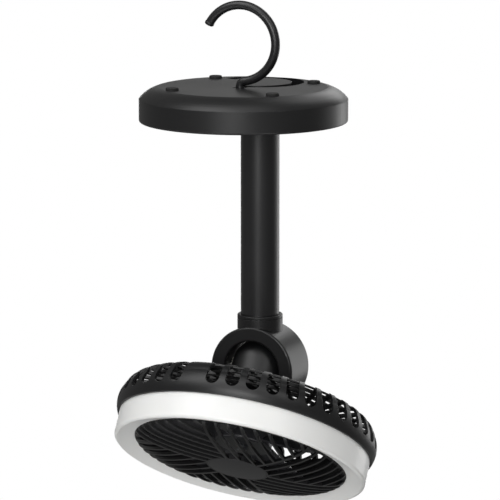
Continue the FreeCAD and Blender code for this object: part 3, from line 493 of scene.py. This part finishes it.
def head_place() -> Matrix:
    """Return the matrix from the fan head's own frame to the object's frame."""
    lean = Matrix.Rotation(math.radians(HEAD_LEAN_DEG), 4, "X")
    return moved(TILT_PINS_MM) @ lean @ moved((0.0, 0.0, -HEAD_DROP_MM))


def settle(item: bpy.types.Object, place: Matrix) -> None:
    """Put an object's own size and place, and one more placing, into its mesh.

    Args:
        item: the object.
        place: where its own frame goes.
    """
    bpy.context.view_layer.update()
    item.data.transform(place @ item.matrix_basis)
    item.matrix_basis = Matrix()
    item.data.update()


def pick(item: bpy.types.Object, chosen: Callable[[Vector], bool]) -> None:
    """Select only the points of a mesh for which a test is true.

    Args:
        item: the object.
        chosen: the test, given a point.
    """
    for part in (item.data.edges, item.data.polygons):
        part.foreach_set("select", [False] * len(part))
    for vertex in item.data.vertices:
        vertex.select = chosen(vertex.co)


def soften(item: bpy.types.Object, radius_mm: float, segments: int = 3) -> None:
    """Round an object's edges with a bevel that is applied.

    Args:
        item: the object, with its size in its mesh.
        radius_mm: the rounding.
        segments: steps in the rounding.
    """
    bevel = item.modifiers.new("edge_rounding", "BEVEL")
    bevel.width = radius_mm * MM
    bevel.segments = segments
    bpy.ops.object.modifier_apply(modifier=bevel.name)
    bpy.ops.object.shade_smooth_by_angle(angle=math.radians(SMOOTH_DEG))


def rounded_block(name: str, size_mm: tuple[float, float, float],
                  radius_mm: float) -> bpy.types.Object:
    """Make a block with rounded edges, centred on the origin.

    Args:
        name: the object's name.
        size_mm: its length in x, y and z.
        radius_mm: the rounding of its edges.

    Returns:
        The new object.
    """
    deselect()
    bpy.ops.mesh.primitive_cube_add(size=1.0)
    item = bpy.context.object
    item.name = name
    item.scale = Vector(size_mm) * MM
    settle(item, Matrix())
    soften(item, radius_mm)
    return item


def rounded_disc(name: str, radius_mm: float, height_mm: float,
                 rounding_mm: float) -> bpy.types.Object:
    """Make a short round bar with rounded rims, centred on the origin and standing along z.

    Args:
        name: the object's name.
        radius_mm: its radius.
        height_mm: its height.
        rounding_mm: the rounding of its rims.

    Returns:
        The new object.
    """
    deselect()
    bpy.ops.mesh.primitive_cylinder_add(vertices=DISC_SIDES, radius=radius_mm * MM,
                                        depth=height_mm * MM)
    item = bpy.context.object
    item.name = name
    soften(item, rounding_mm, 4)
    return item


def copy_of(item: bpy.types.Object, name: str, place: Matrix) -> bpy.types.Object:
    """Copy an object with a mesh of its own, and place the copy.

    Args:
        item: the object to copy.
        name: the copy's name.
        place: where the copy goes.

    Returns:
        The copy.
    """
    twin = item.copy()
    twin.data = item.data.copy()
    twin.name = name
    bpy.context.scene.collection.objects.link(twin)
    settle(twin, place)
    return twin


def joined(name: str, items: list[bpy.types.Object]) -> bpy.types.Object:
    """Join objects into the first one.

    Args:
        name: the joined object's name.
        items: the objects.

    Returns:
        The joined object.
    """
    deselect()
    for item in items:
        item.select_set(True)
    bpy.context.view_layer.objects.active = items[0]
    bpy.ops.object.join()
    items[0].name = name
    return items[0]


def discard(item: bpy.types.Object) -> None:
    """Delete an object that was only a pattern for its copies."""
    bpy.data.objects.remove(item, do_unlink=True)


# Sub-assemblies


@dataclass
class BaseUnit:
    """The battery base: two covers, four feet and what they hold.

    A disc's three sizes are its radius, height and rounding.
    """

    dresser: Dresser
    key_x_mm: float = 12.0
    key_y_mm: float = -53.85
    key_face_mm: float = -81.7
    power_ring_mm: tuple[float, float] = (2.1, 0.24)
    power_gap_deg: float = 64.0
    power_bar_mm: tuple[float, float, float] = (0.48, 1.9, 0.48)
    power_bar_y_mm: float = 1.75
    light_middle_mm: tuple[float, float] = (1.0, 0.44)
    light_ray_mm: tuple[float, float, float] = (0.36, 1.0, 0.4)
    light_ray_y_mm: float = 2.1
    light_rays: int = 8
    mark_rounding_mm: float = 0.12
    ray_rounding_mm: float = 0.1
    window_face_mm: float = -80.8
    lens_mm: tuple[float, float, float] = (0.75, 0.6, 0.25)
    lens_gaps_mm: tuple[float, ...] = (-4.2, -1.4, 1.4, 4.2)
    tongue_mm: tuple[float, float, float] = (0.0, 76.6, -72.2)
    contact_mm: tuple[float, float, float] = (0.42, 3.4, 0.12)
    contact_gaps_mm: tuple[float, ...] = (-2.5, -1.5, -0.5, 0.5, 1.5, 2.5)
    contact_out_mm: float = 0.41
    contact_rounding_mm: float = 0.04
    part_rounding_mm: float = 0.15

    def build(self) -> None:
        """Dress the covers, feet and inner pieces, and add the small pieces on them."""
        self._dress()
        self._key_mark(Mark.POWER, -self.key_x_mm, "fan_button")
        self._key_mark(Mark.LIGHT, self.key_x_mm, "light_button")
        self._window_lenses()
        self._contacts()
        self._board_parts()

    def _key_mark(self, mark: Mark, x_mm: float, body: str) -> None:
        """Raise a plain mark on a key's face.

        Args:
            mark: which mark.
            x_mm: the key's middle.
            body: the key's moving body.
        """
        drawn = self._power_mark() if mark is Mark.POWER else self._light_mark()
        settle(drawn, moved((x_mm, self.key_y_mm, self.key_face_mm)))
        self.dresser.piece(drawn, KEY_GREY, body, "black_key_plastic")

    def _power_mark(self) -> bpy.types.Object:
        """Make a broken ring with a bar in its gap.

        Returns:
            The mark, centred on the origin.
        """
        ring_mm, wire_mm = self.power_ring_mm
        half_gap = math.radians(self.power_gap_deg / 2)
        deselect()
        bpy.ops.mesh.primitive_torus_add(major_segments=60, minor_segments=12,
                                         major_radius=ring_mm * MM, minor_radius=wire_mm * MM)
        ring = bpy.context.object
        pick(ring, lambda point: abs(math.atan2(point.x, point.y)) < half_gap)
        bpy.ops.object.mode_set(mode="EDIT")
        bpy.ops.mesh.delete(type="VERT")
        bpy.ops.mesh.select_all(action="SELECT")
        bpy.ops.mesh.fill_holes(sides=0)
        bpy.ops.mesh.normals_make_consistent(inside=False)
        bpy.ops.object.mode_set(mode="OBJECT")
        bpy.ops.object.shade_smooth_by_angle(angle=math.radians(SMOOTH_DEG))
        bar = rounded_block("fan_key_bar", self.power_bar_mm, self.mark_rounding_mm)
        settle(bar, moved((0.0, self.power_bar_y_mm, 0.0)))
        return joined("fan_key_mark", [ring, bar])

    def _light_mark(self) -> bpy.types.Object:
        """Make a round middle with rays around it.

        Returns:
            The mark, centred on the origin.
        """
        middle = rounded_disc("light_key_middle", *self.light_middle_mm, self.mark_rounding_mm)
        ray = rounded_block("light_key_ray", self.light_ray_mm, self.ray_rounding_mm)
        step_out = moved((0.0, self.light_ray_y_mm, 0.0))
        rays = [copy_of(ray, f"light_key_ray_{i}",
                        Matrix.Rotation(2 * math.pi * i / self.light_rays, 4, "Z") @ step_out)
                for i in range(self.light_rays)]
        discard(ray)
        return joined("light_key_mark", [middle, *rays])

    def _window_lenses(self) -> None:
        """Set four small lenses in the battery window, one for each quarter of the charge."""
        lens = rounded_disc("charge_lens", *self.lens_mm)
        for number, x_mm in enumerate(self.lens_gaps_mm, 1):
            place = moved((x_mm, self.key_y_mm, self.window_face_mm))
            twin = copy_of(lens, f"charge_lens_{number}", place)
            self.dresser.piece(twin, RING_WHITE, "base", "clear_plastic")
        discard(lens)

    def _contacts(self) -> None:
        """Lay gold contacts on both sides of the socket's tongue."""
        contact = rounded_block("contact", self.contact_mm, self.contact_rounding_mm)
        x_mid, y_mid, z_mid = self.tongue_mm
        twins = [copy_of(contact, f"contact_{side}_{x_mm}",
                         moved((x_mid + x_mm, y_mid, z_mid + side * self.contact_out_mm)))
                 for side in (-1, 1) for x_mm in self.contact_gaps_mm]
        discard(contact)
        self.dresser.piece(joined("socket_contacts", twins), GOLD, "base", "socket_steel")

    def _board_parts(self) -> None:
        """Set chips, capacitors and a coil on the two boards, clear of the cells."""
        boards = {
            "panel_chip": (EPOXY_BLACK, (0.0, -53.85, -72.4), (6.0, 6.0, 1.1)),
            "panel_socket": (NYLON, (-17.5, -53.85, -71.6), (4.5, 7.0, 2.8)),
            "charge_chip": (EPOXY_BLACK, (-4.5, 65.6, -73.25), (4.6, 4.6, 1.1)),
            "charge_coil": (FERRITE, (4.8, 65.2, -72.8), (4.2, 4.2, 2.1)),
            "charge_cap_1": (CERAMIC_TAN, (0.2, 64.6, -73.4), (1.0, 2.0, 0.9)),
            "charge_cap_2": (CERAMIC_TAN, (0.2, 67.8, -73.4), (1.0, 2.0, 0.9)),
        }
        for name, (finish, place_mm, size_mm) in boards.items():
            item = rounded_block(name, size_mm, self.part_rounding_mm)
            settle(item, moved(place_mm))
            self.dresser.piece(item, finish, "base", "switch_plastic")

    def _dress(self) -> None:
        """Give the carried-over pieces of the base their finishes."""
        dress = self.dresser.dress
        dress(SHELL_BLACK, "base_foot_cover", "base_pole_cover")
        dress(FOOT_BLACK, "foot_1", "foot_2", "foot_3", "foot_4")
        dress(CRADLE_BLACK, "front_cell_cradle", "right_cell_cradle", "left_cell_cradle",
              "pole_flange")
        dress(CELL_BLUE, "battery_cell_1", "battery_cell_2", "battery_cell_3", "battery_cell_4")
        dress(BOARD_GREEN, "panel_board", "charge_board")
        dress(SWITCH_GREY, "touch_switches")
        dress(WINDOW_SMOKE, "battery_window")
        dress(CAP_BLACK, "fan_button", "light_button")
        dress(NICKEL, "usb_socket")
        dress(ZINC, "base_screws", "flange_screws")


@dataclass
class FoldingHook:
    """The round-wire hook on its pin, with a cap on its tip."""

    dresser: Dresser
    ring_centre_mm: tuple[float, float, float] = (0.0, 0.0, -24.0)
    ring_radius_mm: float = 27.2
    tip_deg: float = 153.0
    cap_mm: tuple[float, float, float] = (3.42, 2.8, 0.9)
    cap_back_mm: float = 1.1

    def build(self) -> None:
        """Dress the wire and the pin, and put the cap on."""
        self._tip_cap()
        self.dresser.dress(HOOK_BLACK, "hook")
        self.dresser.dress(GROUND_STEEL, "hook_pin")

    def _tip_cap(self) -> None:
        """Slip a short moulded cap over the wire's end."""
        cap = rounded_disc("hook_tip_cap", *self.cap_mm)
        tip = math.radians(self.tip_deg)
        outwards = Vector((math.cos(tip), 0.0, math.sin(tip)))
        onwards = Vector((-math.sin(tip), 0.0, math.cos(tip)))
        middle = (Vector(self.ring_centre_mm) + self.ring_radius_mm * outwards
                  - self.cap_back_mm * onwards)
        turn = onwards.to_track_quat("Z", "Y").to_matrix().to_4x4()
        settle(cap, moved(middle) @ turn)
        self.dresser.piece(cap, CAP_BLACK, "hook", "hook_coated_steel")


@dataclass
class PoleAndYoke:
    """The tube, its lead and the yoke at its lower end."""

    dresser: Dresser

    def build(self) -> None:
        """Dress the tube, yoke and lead."""
        self.dresser.dress(TUBE_BLACK, "pole")
        self.dresser.dress(SHELL_BLACK, "yoke")
        self.dresser.dress(SHEATH, "pole_lead")


@dataclass
class FanHead:
    """The tilting head: neck, rear shell, light ring, grille and shroud."""

    dresser: Dresser
    merge_mm: float = 0.001
    crown_smooth_deg: float = 30.0

    def build(self) -> None:
        """Dress the head's covers, light and hinge pieces."""
        dress = self.dresser.dress
        dress(SHELL_BLACK, "neck", "rear_shell", "front_grille", "fan_shroud")
        dress(CAP_BLACK, "grille_cap")
        dress(RING_WHITE, "led_ring")
        dress(BOARD_GREEN, "led_board")
        dress(PHOSPHOR, "led_chips")
        dress(GROUND_STEEL, "tilt_pin_right", "tilt_pin_left")
        dress(NYLON, "tilt_washer_right", "tilt_washer_left")
        dress(ZINC, "neck_screws", "head_screws")
        self._even_cap()

    def _even_cap(self) -> None:
        """Show the grille's cap from a merged copy of its mesh, so that its crown shades evenly."""
        cap = copy_of(frame["nodes"]["grille_cap"], "grille_cap_crown", Matrix())
        del cap["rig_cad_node"]
        deselect()
        cap.select_set(True)
        bpy.context.view_layer.objects.active = cap
        bpy.ops.mesh.customdata_custom_splitnormals_clear()
        bpy.ops.object.mode_set(mode="EDIT")
        bpy.ops.mesh.select_all(action="SELECT")
        bpy.ops.mesh.remove_doubles(threshold=self.merge_mm * MM)
        bpy.ops.object.mode_set(mode="OBJECT")
        bpy.ops.object.shade_smooth_by_angle(angle=math.radians(self.crown_smooth_deg))
        self.dresser.piece(cap, CAP_BLACK, "head", "black_cap_plastic")
        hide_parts("grille_cap")


@dataclass
class FanMotor:
    """The motor's still and turning pieces, and the impeller on it."""

    dresser: Dresser
    teeth: int = 9
    stack_middle_mm: float = 28.0
    stack_height_mm: float = 10.0
    tooth_width_mm: float = 2.4
    coil_radii_mm: tuple[float, float] = (7.9, 10.5)
    coil_thick_mm: float = 1.0
    coil_rounding_mm: float = 0.3

    def build(self) -> None:
        """Dress the motor and the impeller, and wind the stator's teeth."""
        self._dress()
        self._windings()

    def _windings(self) -> None:
        """Wind one tooth with enamelled wire, and copy the coil to the others."""
        inner_mm, outer_mm = self.coil_radii_mm
        thick = 2 * self.coil_thick_mm
        size_mm = (self.stack_height_mm + thick, self.tooth_width_mm + thick, 1.0)
        deselect()
        bpy.ops.mesh.primitive_plane_add(size=1.0)
        coil = bpy.context.object
        coil.name = "coil_pattern"
        coil.scale = Vector(size_mm) * MM
        settle(coil, Matrix())
        bpy.ops.object.mode_set(mode="EDIT")
        bpy.ops.mesh.select_mode(type="FACE")
        bpy.ops.mesh.select_all(action="SELECT")
        bpy.ops.mesh.inset(thickness=self.coil_thick_mm * MM)
        bpy.ops.mesh.delete(type="FACE")
        bpy.ops.mesh.select_all(action="SELECT")
        bpy.ops.mesh.extrude_region_move(
            TRANSFORM_OT_translate={"value": (0.0, 0.0, (outer_mm - inner_mm) * MM)})
        bpy.ops.mesh.select_all(action="SELECT")
        bpy.ops.mesh.normals_make_consistent(inside=False)
        bpy.ops.object.mode_set(mode="OBJECT")
        soften(coil, self.coil_rounding_mm)
        out = moved((inner_mm, 0.0, self.stack_middle_mm)) @ Matrix.Rotation(math.pi / 2, 4, "Y")
        turns = [Matrix.Rotation(2 * math.pi * i / self.teeth, 4, "Z") for i in range(self.teeth)]
        twins = [copy_of(coil, f"coil_{i}", head_place() @ turn @ out)
                 for i, turn in enumerate(turns)]
        discard(coil)
        self.dresser.piece(joined("stator_windings", twins), COPPER, "head", "bearing_bronze")

    def _dress(self) -> None:
        """Give the motor's carried-over pieces their finishes."""
        dress = self.dresser.dress
        dress(BRONZE, "bearing_front", "bearing_rear")
        dress(LAMINATIONS, "motor_stator")
        dress(GROUND_STEEL, "rotor_bell", "motor_shaft")
        dress(FERRITE, "rotor_magnets")
        dress(BLADE_BLACK, "impeller")
        dress(ZINC, "impeller_nut")


# Studio


@dataclass
class Softbox:
    """One rectangular studio light."""

    name: str
    place_m: tuple[float, float, float]
    size_m: tuple[float, float]
    watts: float
    aim_m: tuple[float, float, float] = (0.0, 0.0, -0.2)

    def build(self) -> None:
        """Put the light in the scene, facing its aim."""
        data = bpy.data.lights.new(self.name, "AREA")
        data.shape = "RECTANGLE"
        data.size, data.size_y = self.size_m
        data.energy = self.watts
        lamp = bpy.data.objects.new(self.name, data)
        bpy.context.scene.collection.objects.link(lamp)
        lamp.location = self.place_m
        lamp.visible_camera = False
        facing = Vector(self.aim_m) - Vector(self.place_m)
        lamp.rotation_euler = facing.to_track_quat("-Z", "Y").to_euler()


@dataclass
class Studio:
    """A pale floor and surround, soft lights, and the camera at the photograph's angle."""

    camera_m: tuple[float, float, float] = (0.9889, -2.3119, 0.2604)
    turn_deg: float = 23.0
    down_deg: float = 9.79
    lens_mm: float = 255.5
    sensor_mm: float = 36.0
    sight_m: float = 60.0
    floor_m: float = -0.75
    floor_radius_m: float = 12.0
    air_strength: float = 0.2
    lights: list[Softbox] = field(default_factory=lambda: [
        Softbox("front_softbox", (0.408, -2.312, 0.349), (1.1, 0.8), 22.0),
        Softbox("key_softbox", (-0.848, -1.21, 1.741), (1.8, 1.8), 28.0),
        Softbox("high_softbox", (0.603, -1.42, 1.688), (1.0, 0.8), 4.0),
        Softbox("right_high_softbox", (1.682, -0.971, 1.261), (1.0, 0.9), 6.0),
        Softbox("top_softbox", (0.1, -0.4, 1.6), (1.2, 1.0), 3.5),
        Softbox("back_high_softbox", (0.279, 1.582, 1.634), (0.9, 0.8), 3.0),
        Softbox("back_top_strip", (-0.116, 2.222, 0.749), (0.9, 0.7), 5.0),
        Softbox("back_left_strip", (-0.914, 2.153, 0.39), (0.8, 0.4), 0.4),
        Softbox("back_right_panel", (0.894, 2.213, -0.32), (0.8, 1.4), 8.5),
        Softbox("right_panel", (1.782, 1.605, -0.234), (0.8, 1.4), 1.4),
        Softbox("back_edge_panel", (-0.125, 2.379, -0.442), (0.7, 1.2), 1.0),
        Softbox("low_softbox", (-0.155, -1.777, -1.756), (1.4, 1.0), 10.0),
        Softbox("low_right_softbox", (1.337, -1.337, -1.628), (1.0, 0.8), 9.0),
        Softbox("low_left_softbox", (-1.6, -1.1, -1.5), (1.0, 0.8), 4.0),
        Softbox("behind_softbox", (-0.976, 2.3, -0.6), (1.1, 1.1), 14.0),
    ])

    def build(self) -> None:
        """Make the surround, the lights and the camera."""
        self._surround()
        for light in self.lights:
            light.build()
        self._camera()

    def _surround(self) -> None:
        """Add a wide white floor and a white sky that only the camera sees."""
        world = bpy.data.worlds.new("studio_air")
        world.use_nodes = True
        air = world.node_tree.nodes["Background"]
        air.inputs["Color"].default_value = colour("F4F4F2")
        air.inputs["Strength"].default_value = self.air_strength
        bpy.context.scene.world = world
        bpy.context.scene.view_settings.view_transform = "Standard"
        white = bpy.data.materials.new("paper_white_matte")
        white.use_nodes = True
        tree = white.node_tree
        tree.nodes.remove(tree.nodes["Principled BSDF"])
        glow = add_node(tree, "ShaderNodeEmission", {"Color": colour("FFFFFF"), "Strength": 1.0})
        clear = add_node(tree, "ShaderNodeBsdfTransparent")
        facing = add_node(tree, "ShaderNodeNewGeometry")
        mix = add_node(tree, "ShaderNodeMixShader",
                       links={0: facing.outputs["Backfacing"], 1: glow.outputs[0],
                              2: clear.outputs[0]})
        tree.links.new(mix.outputs[0], tree.nodes["Material Output"].inputs["Surface"])
        deselect()
        bpy.ops.mesh.primitive_circle_add(vertices=96, radius=self.floor_radius_m,
                                          fill_type="NGON", location=(0, 0, self.floor_m))
        floor = bpy.context.object
        floor.name = "studio_floor"
        deselect()
        bpy.ops.mesh.primitive_uv_sphere_add(segments=64, ring_count=32,
                                             radius=self.floor_radius_m)
        sky = bpy.context.object
        sky.name = "studio_sky"
        sky.data.flip_normals()
        for item in (floor, sky):
            item.data.materials.append(white)
            item.visible_diffuse = False
            item.visible_glossy = False
            item.visible_transmission = False
            item.visible_shadow = False

    def _camera(self) -> None:
        """Place the camera as the photograph was taken."""
        data = bpy.data.cameras.new("photo_camera")
        data.lens = self.lens_mm
        data.sensor_width = self.sensor_mm
        data.clip_end = self.sight_m
        camera = bpy.data.objects.new("photo_camera", data)
        bpy.context.scene.collection.objects.link(camera)
        camera.location = self.camera_m
        camera.rotation_euler = (math.radians(90.0 - self.down_deg), 0.0,
                                 math.radians(self.turn_deg))
        bpy.context.scene.camera = camera


def main() -> None:
    """Build the sub-assemblies in order, then the studio."""
    logging.basicConfig(level=logging.INFO, format="%(name)s: %(message)s")
    dresser = Dresser()
    for part in (BaseUnit(dresser), FoldingHook(dresser), PoleAndYoke(dresser),
                 FanHead(dresser), FanMotor(dresser)):
        part.build()
    Studio().build()


if __name__ == "__main__":
    main()
